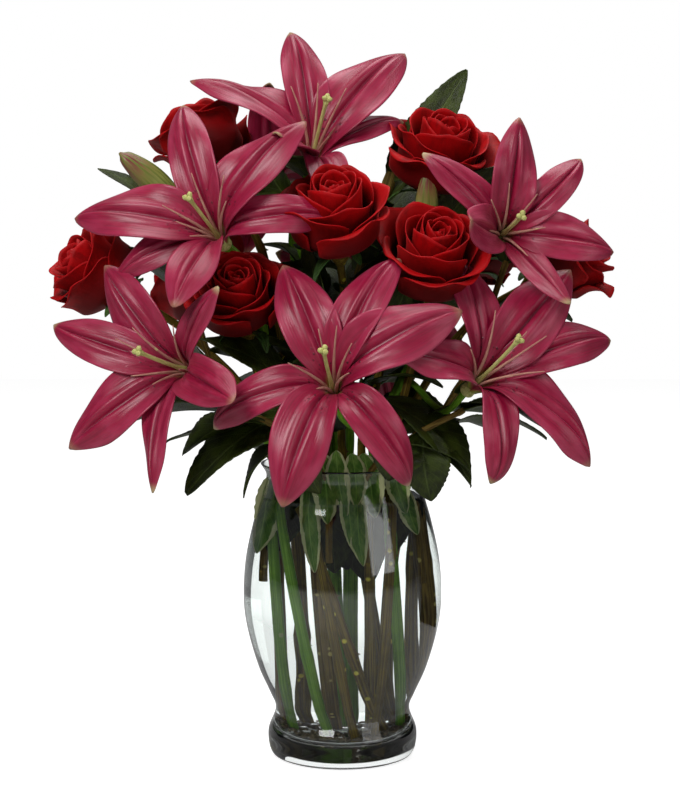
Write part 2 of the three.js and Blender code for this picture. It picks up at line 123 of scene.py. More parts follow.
# the way every lily faces, as degrees round from the front and upwards, whether its first
# tepal is a broad inner one, and its tepals as (clock angle, spread, curl, length, sway)
LILIES = [
    (-10, 32, True, [(340, 70, 55, 97, -8), (20, 75, 75, 112, 6), (55, 80, 45, 107, 8),
                     (130, 107, 85, 103, 10), (200, 93, 45, 100, -6), (255, 90, 85, 100, -6)]),
    (-35, 14, True, [(320, 70, 45, 96, -4), (280, 65, 60, 107, 4), (220, 68, 40, 98, 6),
                     (178, 74, 35, 94, -6), (105, 70, 18, 80, 4), (35, 60, 40, 76, 6)]),
    (40, 34, True, [(50, 55, 40, 108, 6), (85, 60, 70, 115, 4), (142, 76, 65, 105, 8),
                    (195, 95, 95, 88, -6), (280, 80, 60, 80, 8), (5, 73, 65, 104, -8)]),
    (-22, 30, True, [(273, 70, 65, 110, -6), (340, 68, 70, 108, -4), (33, 77, 50, 105, 4),
                     (80, 97, 90, 95, -8), (177, 60, 38, 84, 4), (240, 76, 55, 80, -4)]),
    (16, 49, True, [(307, 74, 53, 108, -6), (355, 61, 60, 106, 4), (46, 60, 57, 112, 6),
                    (80, 66, 65, 76, -4), (176, 79, 55, 78, 4), (222, 44, 12, 80, 6)]),
    (12, 13, False, [(316, 75, 43, 84, -6), (2, 68, 50, 84, 6), (53, 76, 75, 84, -6),
                     (99, 74, 74, 86, 4), (162, 51, 22, 80, -10), (254, 28, 5, 83, 6)]),
    (172, 22, True, [(2, 78, 60, 98, 6), (58, 82, 72, 100, -6), (118, 86, 55, 96, 4),
                     (182, 90, 64, 94, 6), (240, 84, 70, 97, -4), (303, 76, 58, 95, 4)]),
    (205, 42, False, [(8, 70, 60, 88, 6), (66, 74, 66, 92, -6), (124, 82, 60, 90, 4),
                      (186, 84, 52, 86, -4), (246, 76, 70, 90, 6), (306, 68, 62, 88, -4)]),
]
PISTIL_LENGTH = 58
# how far the middle of a pistil's box is from the lily's throat
PISTIL_MIDDLE = 29.8
# the angle from the lily's axis at which every tepal starts
THROAT_LEAN = 18
TEPAL_STEPS = 48

# the way every rose faces, its size, and the foot and neck of its stem from the vase's axis
ROSES = [
    (-125, 58, 1.0, (-26, 14), (-34, 18)),
    (25, 62, 1.05, (14, 6), (14, -4)),
    (-8, 58, 1.05, (26, 11), (3, 8)),
    (12, 52, 1.05, (20, -26), (31, -25)),
    (-12, 50, 0.95, (8, -30), (-22, -35)),
    (-72, 34, 0.95, (24, -9), (-29, -13)),
    (82, 34, 0.95, (28, 25), (36, 14)),
    (218, 36, 1.0, (-15, 25), (-22, 31)),
    (150, 42, 1.0, (15, 33), (25, 33)),
]
# how far the middle of a bloom's box and the top of its stem are from the bloom's base
ROSE_MIDDLE = 23.5
ROSE_HIP = 7
ROSE_FULLNESS = 1.17
GOLDEN_TURN = 137.5

# the height of every stem's foot above the vase's underside, and the points in a curve's span
STEM_FOOT = 14.5
STEM_STEPS = 12

# every lily stem's foot and neck, what it ends in, and its side shoots as (share, what)
LILY_STEMS = [
    ((-28, -7), (-41, -3), "lily_4", [(0.75, "bud_1")]),
    ((-8, -21), (-41, -19), "lily_2", []),
    ((33, -2), (24, -10), "lily_6", [(0.1, "lily_1"), (0.4, "lily_3")]),
    ((0, 17), (-6, 17), "lily_5", [(0.75, "bud_2")]),
    ((3, 32), (4, 38), "lily_8", [(0.45, "lily_7")]),
]

# the way every bud points, its length and its radius
BUDS = [(-70, 40, 52, 9), (5, 78, 40, 7.5)]

# every sprig: its name, stem radius, the points it passes from the vase's base centre, and its
# leaves as (share of the stem, tip x, y, z, width, roll, sag)
SPRIGS = [
    ("sprig_centre", 4.3, [(-4, -4, 15), (-14, 0, 190), (4, 30, 300), (34, 34, 400)],
     [(0.98, 84, 22, 470, 30, 20, 8), (0.9, 92, 12, 418, 34, -30, 10),
      (0.86, -40, 34, 408, 34, 40, 10), (0.75, 60, 62, 400, 36, 160, 8),
      (0.62, -10, 88, 350, 34, 180, 10)]),
    ("sprig_front_left", 2.2, [(-8, -40, 140), (-12, -42, 196), (-40, -66, 232), (-76, -70, 250)],
     [(0.55, -66, -62, 188, 40, 0, 10), (0.75, -106, -52, 216, 38, -20, 8),
      (0.98, -146, -34, 238, 34, 10, 8), (0.6, -20, -64, 206, 34, 20, 8)]),
    ("sprig_front_right", 2.2, [(14, -38, 140), (16, -42, 196), (44, -62, 226), (80, -52, 244)],
     [(0.55, 84, -66, 206, 36, 0, 8), (0.75, 58, -70, 186, 34, 10, 8),
      (0.98, 134, -28, 232, 32, 0, 8), (0.6, 30, -72, 200, 36, -10, 10)]),
    ("sprig_left", 2.4, [(-40, 8, 120), (-43, 6, 192), (-86, 14, 260), (-112, 8, 350)],
     [(0.99, -164, 4, 404, 28, 20, 8), (0.85, -160, -6, 352, 30, -20, 8),
      (0.6, -152, -6, 262, 36, -20, 12), (0.62, -110, 66, 268, 36, 120, 12),
      (0.4, -118, -22, 222, 38, -10, 10)]),
    ("sprig_right", 2.4, [(42, 0, 120), (43, 2, 192), (84, 12, 262), (112, 12, 340)],
     [(0.99, 118, 2, 418, 30, 10, 8), (0.85, 158, 20, 300, 32, 20, 10),
      (0.6, 146, -14, 240, 34, 30, 10), (0.62, 120, 70, 280, 36, -120, 12),
      (0.42, 110, 30, 222, 38, 10, 12)]),
    ("sprig_back", 2.4, [(-2, 43, 130), (-8, 44, 194), (-20, 72, 240), (-40, 96, 290)],
     [(0.98, -72, 112, 340, 34, 180, 10), (0.7, -84, 100, 244, 40, 160, 12),
      (0.55, 44, 104, 216, 40, 190, 12), (0.45, -30, 104, 202, 40, 180, 12),
      (0.85, 20, 124, 268, 34, 200, 8)]),
]
# the pruned branch end that leans in the water
STUB = [(30, 7, 19), (43, 9, 76), (38, 9, 166)]

# broad leaves round the collar and between the blooms, as (base, tip, width, roll)
COLLAR_LEAVES = [
    ((-22, -38, 246), (-104, -64, 192), 56, 15), ((-56, -44, 238), (-156, -44, 232), 42, -10),
    ((-26, -24, 246), (-92, -44, 292), 40, 30), ((26, -40, 250), (86, -60, 196), 52, -10),
    ((56, -36, 240), (136, -42, 226), 36, 10), ((-4, -44, 240), (56, -66, 200), 46, 20),
    ((-34, -38, 232), (-16, -62, 190), 34, -25), ((-6, -20, 290), (-26, -24, 356), 30, 60),
    ((20, -20, 280), (46, -28, 330), 34, -40), ((-30, 24, 372), (-62, 30, 420), 32, 50),
    ((40, -10, 300), (120, -20, 300), 40, 20), ((60, 0, 350), (112, -4, 406), 34, 40),
    ((-70, 10, 334), (-128, 12, 366), 34, -30), ((10, 0, 340), (30, -16, 372), 30, 80),
    ((-16, 0, 300), (-64, -20, 330), 40, -60), ((30, 0, 290), (80, -10, 340), 40, 50),
]
# how many more leaves fill the heart of the bunch
CORE_LEAVES = 34

# small leaves that hang inside the vase's neck, as (base, tip, width, roll)
NECK_LEAVES = [
    ((-14, -40, 214), (-9, -43, 166), 19.5, 15), ((-4, -42, 216), (2, -44, 172), 16.9, -25),
    ((6, -42, 214), (9, -43, 178), 15.6, 20), ((14, -40, 214), (20, -42, 170), 20.8, -20),
    ((34, -32, 208), (41, -33, 172), 19.5, 35), ((40, -26, 188), (47, -24, 156), 15.6, 20),
    ((-22, -36, 196), (-16, -42, 134), 15.6, 30), ((-46, -8, 196), (-50, -8, 140), 26, -20),
    ((10, -38, 186), (12, -42, 138), 15.6, -30), ((2, -38, 190), (6, -40, 150), 14.3, 35),
]

# dark leaves that sank into the water behind them, in the same form
SUNKEN_LEAVES = [
    ((-14, 2, 200), (-4, -8, 128), 34, 5), ((6, 6, 204), (14, -2, 120), 36, -5),
    ((20, 10, 200), (24, 0, 136), 30, 10), ((-30, 4, 196), (-38, -2, 138), 30, -20),
    ((-2, 20, 196), (2, 16, 126), 34, 0), ((30, 16, 196), (36, 10, 150), 26, -10),
]


# ---- shapes ----

def smooth(value):
    value = min(max(value, 0.0), 1.0)
    return value * value * (3 - 2 * value)


def rise(value, start):
    """From 0 at start to 1 at the end."""
    return max(0.0, (value - start) / (1 - start))


def facing(turn, tilt):
    turn, tilt = radians(turn), radians(tilt)
    level = cos(tilt)
    return Vector((sin(turn) * level, -cos(turn) * level, sin(tilt)))


def across(axis):
    """The up and right directions across an axis, as seen by someone it faces."""
    up = (UP - axis * axis.z).normalized()
    return up, up.cross(axis)


def spoke(up, right, angle):
    """The direction at an angle round from up towards right."""
    return up * cos(angle) + right * sin(angle)


def centre_of(node):
    low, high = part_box(node)
    return (Vector(low) + Vector(high)) / 2


def from_base(point):
    """A point in millimetres from the middle of the vase's underside."""
    middle = centre_of("vase")
    return Vector((middle.x, middle.y, VASE_LOW.z)) + Vector(point) * MM


def smooth_route(points, count):
    """Even steps along a smooth curve through the points."""
    ends = [points[0] * 2 - points[1]] + list(points) + [points[-1] * 2 - points[-2]]
    route = []
    for i in range(1, len(ends) - 2):
        before, start, end, after = ends[i - 1:i + 3]
        span = (end - start).length
        lead = (end - before).normalized() * span / 3
        tail = (after - start).normalized() * span / 3
        route += interpolate_bezier(start, start + lead, end - tail, end, count)[:-1]
    return route + [points[-1]]


def along_route(route, share):
    place = share * (len(route) - 1)
    i = min(int(place), len(route) - 2)
    return route[i].lerp(route[i + 1], place - i), (route[i + 1] - route[i]).normalized()


def add_object(name, data):
    thing = bpy.data.objects.new(name, data)
    bpy.context.collection.objects.link(thing)
    return thing


class Skin:
    """Gathers grids of points into one mesh; each point keeps (along, across, variety)."""

    def __init__(self):
        self.points = []
        self.faces = []
        self.marks = []

    def grid(self, place, length_steps, width_steps, variety, wrap=False):
        """Adds place(along, across) on an even grid; a wrapped one is closed by end faces."""
        start = len(self.points)
        row = width_steps if wrap else width_steps + 1
        for i in range(length_steps + 1):
            for j in range(row):
                self.points.append(place(i / length_steps, j / width_steps))
                self.marks.append((i / length_steps, j / width_steps, variety))
        for i in range(length_steps):
            for j in range(width_steps):
                a = start + i * row + j
                b = start + i * row + (j + 1) % row
                self.faces.append((a, b, b + row, a + row))
        if wrap:
            last = start + length_steps * row
            self.faces.append(tuple(reversed(range(start, start + row))))
            self.faces.append(tuple(range(last, last + row)))

    def tube(self, route, radius, sides, variety):
        """A closed round tube along the route; radius is a function of the share."""
        steps = len(route) - 1
        frames = []
        side = None
        for i in range(steps + 1):
            tangent = (route[min(i + 1, steps)] - route[max(i - 1, 0)]).normalized()
            if side is None:
                side = tangent.orthogonal().normalized()
            side = (side - tangent * side.dot(tangent)).normalized()
            frames.append((side, tangent.cross(side)))

        def place(t, v):
            i = round(t * steps)
            return route[i] + spoke(*frames[i], 2 * pi * v) * radius(t) * MM
        self.grid(place, steps, sides, variety, wrap=True)

    def finish(self, name, material, slot, *nodes, thickness=0.0):
        """Makes the piece, thickened in mm if it's a sheet, and ties it to the frame."""
        mesh = bpy.data.meshes.new(name)
        mesh.from_pydata(self.points, [], self.faces)
        marks = mesh.attributes.new("marks", "FLOAT_VECTOR", "POINT")
        marks.data.foreach_set("vector", [number for mark in self.marks for number in mark])
        mesh.polygons.foreach_set("use_smooth", [True] * len(mesh.polygons))
        mesh.materials.append(material)
        piece = add_object(name, mesh)
        if thickness:
            solid = piece.modifiers.new("thickness", "SOLIDIFY")
            solid.thickness = thickness * MM
            solid.offset = 0.0
        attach(piece, "root")
        if nodes:
            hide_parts(*nodes)


# ---- materials ----

def node(tree, kind, inputs=None, **settings):
    made = tree.nodes.new("ShaderNode" + kind)
    for name, value in settings.items():
        setattr(made, name, value)
    for key, value in (inputs or {}).items():
        if isinstance(value, bpy.types.NodeSocket):
            tree.links.new(value, made.inputs[key])
        else:
            made.inputs[key].default_value = value
    return made


def maths(tree, operation, first, second=0.0):
    return node(tree, "Math", {0: first, 1: second}, operation=operation).outputs[0]


def plus(tree, first, second):
    return maths(tree, "ADD", first, second)


def times(tree, first, second):
    return maths(tree, "MULTIPLY", first, second)


def blend(tree, factor, first, second):
    """Mixes colours; one of three parts becomes opaque, and a socket is linked."""
    first, second = (part if isinstance(part, bpy.types.NodeSocket) else colour(part)
                     for part in (first, second))
    return node(tree, "Mix", {0: factor, 6: first, 7: second}, data_type="RGBA").outputs[2]


def band(tree, value, low, high, out_low=0.0, out_high=1.0):
    """Takes the value from low..high to out_low..out_high, smoothly."""
    inputs = {0: value, 1: low, 2: high, 3: out_low, 4: out_high}
    return node(tree, "MapRange", inputs, interpolation_type="SMOOTHSTEP").outputs[0]


def fade(tree, value, low, high):
    """1 below low and 0 above high."""
    return band(tree, value, low, high, 1.0, 0.0)


def noise(tree, vector, scale, detail):
    inputs = {"Vector": vector, "Scale": scale, "Detail": detail, "Roughness": 0.55}
    return node(tree, "TexNoise", inputs).outputs["Fac"]


def colour(value):
    return (*value, 1.0)


def principled(name, **sockets):
    """A new material with these values on its shader's sockets."""
    material = bpy.data.materials.new(name)
    material.use_nodes = True
    shader = material.node_tree.nodes["Principled BSDF"]
    for socket, value in sockets.items():
        shader.inputs[socket.replace("_", " ")].default_value = value
    return material, material.node_tree, shader


def marks_vector(tree):
    return node(tree, "Attribute", attribute_name="marks").outputs["Vector"]


def marks_of(tree):
    """A piece's along, edge (0 in the middle, 1 at both edges) and variety, and all as one."""
    vector = marks_vector(tree)
    parts = node(tree, "SeparateXYZ", {0: vector}).outputs
    side = node(tree, "MapRange", {0: parts[1], 3: -1.0, 4: 1.0}).outputs[0]
    return parts[0], maths(tree, "ABSOLUTE", side), parts[2], vector


def stretched(tree, vector, along, sideways):
    """The marks scaled for a texture, moved far away for each variety."""
    scale = (along, sideways, 37.0)
    return node(tree, "VectorMath", {0: vector, 1: scale}, operation="MULTIPLY").outputs[0]


def cells(tree, vector, scale, feature="F1"):
    inputs = {"Vector": vector, "Scale": scale}
    return node(tree, "TexVoronoi", inputs, feature=feature).outputs


def dress(tree, shader, relief, strength, depth, body=None, gloss=None):
    """Gives a shader its relief, with a depth in mm, and its colour and roughness nodes."""
    bump = node(tree, "Bump", {"Strength": strength, "Distance": depth * MM, "Height": relief})
    tree.links.new(bump.outputs[0], shader.inputs["Normal"])
    if body:
        tree.links.new(body, shader.inputs["Base Color"])
    if gloss:
        tree.links.new(gloss, shader.inputs["Roughness"])


def object_noise(tree, scale, detail):
    return noise(tree, node(tree, "TexCoord").outputs["Object"], scale, detail)


def tepal_material(settings):
    material, tree, shader = principled(
        "tepal_satin", Roughness=0.36, Specular_IOR_Level=0.5, Sheen_Weight=0.08,
        Sheen_Roughness=0.4, Sheen_Tint=(1.0, 0.55, 0.7, 1.0), Subsurface_Weight=0.05,
        Subsurface_Scale=0.002)
    along, edge, variety, vector = marks_of(tree)
    dark, light = settings.tepal_dark, settings.tepal_light
    veins = noise(tree, stretched(tree, vector, 2.6, 34.0), 1.0, 4.0)
    cloud = noise(tree, stretched(tree, vector, 3.0, 3.0), 1.6, 2.0)
    body = blend(tree, band(tree, veins, 0.3, 0.62, 0.45, 1.0), dark, settings.tepal_colour)
    body = blend(tree, band(tree, cloud, 0.4, 0.75, 0.0, 0.45), body, light)
    paler = times(tree, band(tree, edge, 0.55, 1.0), band(tree, along, 0.2, 0.6))
    body = blend(tree, times(tree, paler, 0.4), body, light)
    keel = fade(tree, edge, 0.0, 0.1)
    body = blend(tree, times(tree, keel, 0.55), body, dark)
    zone = times(tree, band(tree, along, 0.08, 0.14), fade(tree, along, 0.26, 0.4))
    zone = times(tree, zone, fade(tree, edge, 0.35, 0.7))
    dots = cells(tree, stretched(tree, vector, 30.0, 9.0), 1.0)["Distance"]
    spots = times(tree, fade(tree, dots, 0.16, 0.3), zone)
    body = blend(tree, times(tree, spots, 0.85), body, settings.spot_colour)
    throat = fade(tree, plus(tree, along, times(tree, edge, 0.1)), 0.05, 0.17)
    body = blend(tree, throat, body, settings.throat_colour)
    outer = band(tree, variety, 0.45, 0.55, 0.4, 1.0)
    tip = times(tree, band(tree, along, 0.92, 1.0), outer)
    body = blend(tree, times(tree, tip, 0.7), body, settings.tip_colour)
    gloss = band(tree, veins, 0.3, 0.7, 0.42, 0.31)
    relief = plus(tree, veins, times(tree, spots, 1.2))
    dress(tree, shader, relief, 0.45, 0.5, body, gloss)
    return material


def rose_material(settings):
    material, tree, shader = principled(
        "rose_velvet", Roughness=0.6, Specular_IOR_Level=0.14, Sheen_Weight=0.22,
        Sheen_Roughness=0.4, Sheen_Tint=(1.0, 0.08, 0.08, 1.0), Subsurface_Weight=0.04,
        Subsurface_Scale=0.002)
    along, edge, _, vector = marks_of(tree)
    dark = settings.rose_painted_shade_and_mottle
    cloud = noise(tree, stretched(tree, vector, 3.0, 5.0), 1.3, 3.0)
    veins = noise(tree, stretched(tree, vector, 3.0, 44.0), 1.0, 3.0)
    # painted shade: every petal darkens from the middle of its length down to its base, deep in
    # the bloom where shade falls; the next line mottles the petals at random with the same dark
    # colour
    body = blend(tree, band(tree, along, 0.45, 0.98), dark, settings.rose_colour)
    body = blend(tree, band(tree, cloud, 0.42, 0.72, 0.0, 0.6), body, dark)
    # painted highlight: the last stretch of every petal, its rolled rim, is lightened as if it
    # caught the light
    rim = times(tree, band(tree, along, 0.95, 1.0), 0.35)
    body = blend(tree, rim, body, settings.rose_rim_highlight)
    gloss = band(tree, plus(tree, veins, edge), 0.3, 1.6, 0.5, 0.66)
    dress(tree, shader, plus(tree, veins, cloud), 0.35, 0.4, body, gloss)
    return material


def leaf_material(name, dark, light, margin=None, specular=0.32):
    """A leaf with a midrib, slanted side veins and a fine net, and a pale margin if asked."""
    material, tree, shader = principled(name, Roughness=0.42, Specular_IOR_Level=specular)
    along, edge, _, vector = marks_of(tree)
    slanted = maths(tree, "SUBTRACT", times(tree, along, 9.0), times(tree, edge, 2.2))
    comb = maths(tree, "PINGPONG", slanted, 0.5)
    vein = fade(tree, comb, 0.0, 0.07)
    midrib = fade(tree, edge, 0.02, 0.07)
    lines = maths(tree, "MAXIMUM", times(tree, vein, 0.55), midrib)
    cloud = noise(tree, stretched(tree, vector, 6.0, 4.0), 1.0, 4.0)
    net = cells(tree, stretched(tree, vector, 60.0, 30.0), 1.0, "DISTANCE_TO_EDGE")["Distance"]
    pale = [min(1.0, part * 1.7 + 0.03) for part in light]
    body = blend(tree, band(tree, cloud, 0.35, 0.7), dark, light)
    body = blend(tree, times(tree, lines, 0.55), body, pale)
    if margin:
        wavy = plus(tree, edge, times(tree, cloud, 0.6))
        body = blend(tree, band(tree, wavy, 0.95, 1.02), body, margin)
    relief = maths(tree, "SUBTRACT", times(tree, band(tree, net, 0.0, 0.15), 0.4), lines)
    dress(tree, shader, relief, 0.6, 0.6, body, band(tree, cloud, 0.3, 0.7, 0.34, 0.48))
    return material


def stem_material(name):
    """Bark or stalk with a long grain, darker patches and pale specks."""
    dark, light, speck, speck_share, roughness = STEM_FINISHES[name]
    material, tree, shader = principled(name, Roughness=roughness, Specular_IOR_Level=0.1)
    place = node(tree, "TexCoord").outputs["Object"]
    grain = noise(tree, stretched(tree, marks_vector(tree), 9.0, 26.0), 1.0, 4.0)
    patch = noise(tree, place, 90.0, 3.0)
    specks = cells(tree, place, 150.0)
    near = fade(tree, specks["Distance"], 0.16, 0.28)
    chance = node(tree, "SeparateXYZ", {0: specks["Color"]}).outputs[0]
    dots = times(tree, near, maths(tree, "LESS_THAN", chance, speck_share))
    body = blend(tree, band(tree, grain, 0.35, 0.7), dark, light)
    body = blend(tree, band(tree, patch, 0.45, 0.75, 0.0, 0.5), body, dark)
    body = blend(tree, dots, body, speck)
    dress(tree, shader, plus(tree, grain, dots), 0.5, 0.5, body)
    return material


def clear_material(name, tone, refraction, ripple_scale, ripple):
    """Glass or water, with a surface that is never quite even."""
    material, tree, shader = principled(
        name, Base_Color=colour(tone), Roughness=0.0, IOR=refraction, Transmission_Weight=1.0)
    dress(tree, shader, object_noise(tree, ripple_scale, 2.0), ripple, 1.0)
    return material


def bud_material():
    """A green bud with long veins that flushes burgundy towards its tip."""
    material, tree, shader = principled("bud_skin", Roughness=0.42, Specular_IOR_Level=0.4)
    along, _, _, vector = marks_of(tree)
    veins = noise(tree, stretched(tree, vector, 2.0, 26.0), 1.0, 4.0)
    body = blend(tree, band(tree, veins, 0.35, 0.7), (0.17, 0.2, 0.035), (0.36, 0.38, 0.09))
    flush = times(tree, band(tree, along, 0.35, 0.9), band(tree, veins, 0.4, 0.6))
    body = blend(tree, flush, body, (0.2, 0.02, 0.035))
    dress(tree, shader, veins, 0.5, 0.5, body)
    return material


# ---- settings ----

def tint(name, description, default):
    return bpy.props.FloatVectorProperty(
        name=name, description=description, default=default, size=3, min=0.0, max=1.0,
        subtype="COLOR")


class BouquetSettings(bpy.types.PropertyGroup):
    """Sizes and colours of the bunch."""

    tepal_colour: tint("Tepal", "Main colour of the lilies", (0.31, 0.003, 0.038))
    tepal_dark: tint("Tepal veins", "Dark veins and keel of the lilies", (0.15, 0.001, 0.02))
    tepal_light: tint("Tepal bloom", "Paler flush of the lilies", (0.5, 0.048, 0.115))
    spot_colour: tint("Spots", "Dark spots in the lilies' throats", (0.05, 0.002, 0.008))
    throat_colour: tint("Throat", "Green throat of the lilies", (0.33, 0.36, 0.06))
    tip_colour: tint("Tips", "Pale tips of the outer tepals", (0.56, 0.52, 0.24))
    rose_colour: tint("Rose", "Main colour of the roses", (0.43, 0.0012, 0.003))
    # painted shade deep in the roses, also used for their random mottling
    rose_painted_shade_and_mottle: tint("Rose shade", "Colour deep in the roses", (0.12, 0.0008, 0.0015))
    # painted highlight on the petals' rims
    rose_rim_highlight: tint("Rose rim", "Colour on the petals' rims", (0.52, 0.005, 0.009))
    leaf_dark: tint("Leaf", "Dark green of the leaves", (0.017, 0.025, 0.002))
    leaf_light: tint("Leaf light", "Lighter green of the leaves", (0.052, 0.078, 0.006))
    tepal_thickness: bpy.props.FloatProperty(
        name="Tepal thickness", description="Thickness of a lily tepal in mm", default=1.0,
        min=0.3, max=2.0)
    petals: bpy.props.IntProperty(
        name="Rose petals", description="Number of petals in a rose", default=23, min=10, max=60)
    grains: bpy.props.IntProperty(
        name="Grit", description="Number of grains on the vase's floor", default=420, min=0,
        max=1000)
    light_power: bpy.props.FloatProperty(
        name="Key light", description="Power of the main light", default=27.0, min=0.0,
        unit="POWER")


# ---- stage ----

def seen_clearly(tree):
    """1 for what is seen straight on or through the glass, 0 for what only lights the bunch."""
    rays = node(tree, "LightPath").outputs
    bounces = plus(tree, rays["Diffuse Depth"], rays["Glossy Depth"])
    unscattered = maths(tree, "LESS_THAN", bounces, 0.5)
    through = times(tree, rays["Is Transmission Ray"], unscattered)
    return maths(tree, "MAXIMUM", rays["Is Camera Ray"], through)


def add_light(name, place, size, aim, power):
    data = bpy.data.lights.new(name, "AREA")
    data.shape = "RECTANGLE"
    data.size, data.size_y = size
    data.energy = power
    light = add_object(name, data)
    light.location = place
    light.rotation_euler = (aim - Vector(place)).to_track_quat("-Z", "Y").to_euler()
    light.visible_camera = False


def add_sheet(name, corners, material):
    """A flat sheet of the stage."""
    mesh = bpy.data.meshes.new(name)
    mesh.from_pydata(corners, [], [(0, 1, 2, 3)])
    mesh.materials.append(material)
    sheet = add_object(name, mesh)
    return sheet


def add_card(name, place, size, turn, material):
    """An upright card behind the vase that gives the glass its dark edge."""
    half, height = size[0] / 2, size[1]
    corners = [(-half, 0, 0), (half, 0, 0), (half, 0, height), (-half, 0, height)]
    card = add_sheet(name, corners, material)
    card.location = place
    card.rotation_euler = Euler((0, 0, radians(turn)))
    card.visible_camera = False
    card.visible_diffuse = False
    card.visible_shadow = False


def paper_material():
    """Pale paper that glows where it is seen, so that it stays even all over."""
    material, tree, shader = principled(
        "floor_paper", Roughness=0.9, Specular_IOR_Level=0.0, Emission_Color=(1, 1, 1, 1))
    glow = times(tree, seen_clearly(tree), FLOOR_GLOW)
    tree.links.new(glow, shader.inputs["Emission Strength"])
    fibre = object_noise(tree, 400.0, 2.0)
    white = blend(tree, fibre, (0.5, 0.5, 0.5), (0.53, 0.53, 0.53))
    tree.links.new(white, shader.inputs["Base Color"])
    return material


class BOUQUET_OT_stage(bpy.types.Operator):
    """Makes the floor, the soft lights, the dark cards and the camera"""

    bl_idname = "bouquet.stage"
    bl_label = "Stage"

    def execute(self, context):
        scene = context.scene
        scene.view_settings.view_transform = "Standard"
        world = bpy.data.worlds.new("studio")
        scene.world = world
        world.use_nodes = True
        tree = world.node_tree
        background = tree.nodes["Background"]
        strength = node(tree, "MapRange", {0: seen_clearly(tree), 3: WORLD_LIGHT, 4: 1.0})
        tree.links.new(strength.outputs[0], background.inputs["Strength"])
        background.inputs["Color"].default_value = (1, 1, 1, 1)

        reach = FLOOR_REACH
        corners = [(-reach, -reach, 0), (reach, -reach, 0), (reach, reach, 0), (-reach, reach, 0)]
        floor = add_sheet("floor", corners, paper_material())
        floor.location.z = VASE_LOW.z - 0.3 * MM
        black = principled("card_black", Roughness=0.8, Base_Color=(0.02, 0.02, 0.024, 1))[0]
        for name, place, size, turn in CARDS:
            add_card(name, place, size, turn, black)

        aim = Vector((0, 0, (cad_box[0][2] + cad_box[1][2]) / 2))
        for name, place, size, share in LIGHTS:
            add_light(name, place, size, aim, scene.bouquet.light_power * share)

        data = bpy.data.cameras.new("camera")
        data.lens = CAMERA_LENS
        data.sensor_width = 36
        camera = add_object("camera", data)
        camera.location = aim + Vector(CAMERA_PLACE)
        camera.rotation_euler = (radians(90 - CAMERA_DIP), 0, 0)
        scene.camera = camera
        return {"FINISHED"}


# ---- vase, water and grit ----

def outline_curve(points, count):
    """A smooth outline in metres through points in shares of the vase's height."""
    route = smooth_route([Vector((radius, height, 0)) for radius, height in points], count)
    return [(spot.x * VASE_HEIGHT, spot.y * VASE_HEIGHT) for spot in route]


def inside_outline():
    """The inside of the vase from the lip down to its floor."""
    wall = [(radius - WALL, height) for radius, height in OUTSIDE if height > 0.2]
    wall[-1] = (wall[-1][0], LIP_INSIDE)
    return outline_curve(list(reversed(wall)) + FLOOR, 6)


def turn_piece(name, outline, material, replaced):
    """A turned piece whose outline starts and ends at the hub, where it is closed."""
    middle = centre_of("vase")
    steps = len(outline) - 1

    def place(t, v):
        radius, height = outline[round(t * steps)]
        angle = 2 * pi * v
        return Vector((middle.x + radius * cos(angle), middle.y + radius * sin(angle),
                       VASE_LOW.z + height))
    skin = Skin()
    skin.grid(place, steps, TURNED_SIDES, 0.5, wrap=True)
    skin.finish(name, material, name, replaced)


class BOUQUET_OT_vase(bpy.types.Operator):
    """Makes the glass vase, the water and the grit on its floor"""

    bl_idname = "bouquet.vase"
    bl_label = "Vase and water"

    def execute(self, context):
        inside = inside_outline()
        foot = [(HUB, 0), (0.18 * VASE_HEIGHT, 0)]
        lip = [(0.272 * VASE_HEIGHT, VASE_HEIGHT), (0.266 * VASE_HEIGHT, VASE_HEIGHT * 0.998)]
        glass = clear_material("vase_glass", (0.96, 0.985, 0.98), 1.5, 28.0, 0.03)
        outline = foot + outline_curve(OUTSIDE, 8) + lip + inside
        turn_piece("vase_glass", outline, glass, "vase")

        level = WATER_TOP - VASE_LOW.z
        corner = 0.16 * VASE_HEIGHT
        wet = []
        for radius, height in inside:
            if height < level:
                sunk = WATER_BITE if height < corner else 0
                wet.append((radius + WATER_BITE, height - sunk))
        edge = wet[0][0]
        surface = [(HUB, level), (edge - 4 * MM, level), (edge - 1.4 * MM, level + 0.25 * MM),
                   (edge, level + 1.0 * MM)]
        water = clear_material("vase_water", (0.985, 1.0, 0.985), 1.333, 20.0, 0.02)
        turn_piece("vase_water", list(reversed(surface + wet)), water, "water")
        self.make_grit(context.scene.bouquet.grains)
        return {"FINISHED"}

    def make_grit(self, count):
        """Specks of bark and grit that lie on the vase's floor, which rises to its wall."""
        floor_level, flat_radius, slope = 13.8, 26, 0.34
        shape = [0.35, 1.0, 0.85, 0.3]
        dice = random.Random(5)
        skin = Skin()
        for _ in range(count):
            angle = dice.uniform(0, 2 * pi)
            far = 0.185 * VASE_HEIGHT * sqrt(dice.uniform(0.08, 1.0)) / MM
            ground = floor_level + max(0.0, far - flat_radius) * slope
            centre = from_base((far * cos(angle), far * sin(angle), ground))
            size = dice.uniform(0.7, 2.2)
            lean = Vector((dice.uniform(-1, 1), dice.uniform(-1, 1), dice.uniform(-0.3, 0.3)))
            half = lean.normalized() * size * dice.uniform(0.7, 1.6) * MM
            route = [centre + half * share for share in (-1, -0.4, 0.4, 1)]
            skin.tube(route, lambda t: size * shape[round(t * 3)] * 0.8, 6, dice.random())
        skin.finish("grit", stem_material("grit"), "bark")


# ---- lilies ----

def throat_of(number):
    turn, tilt = LILIES[number - 1][:2]
    return centre_of(f"lily_pistil_{number}") - facing(turn, tilt) * PISTIL_MIDDLE * MM


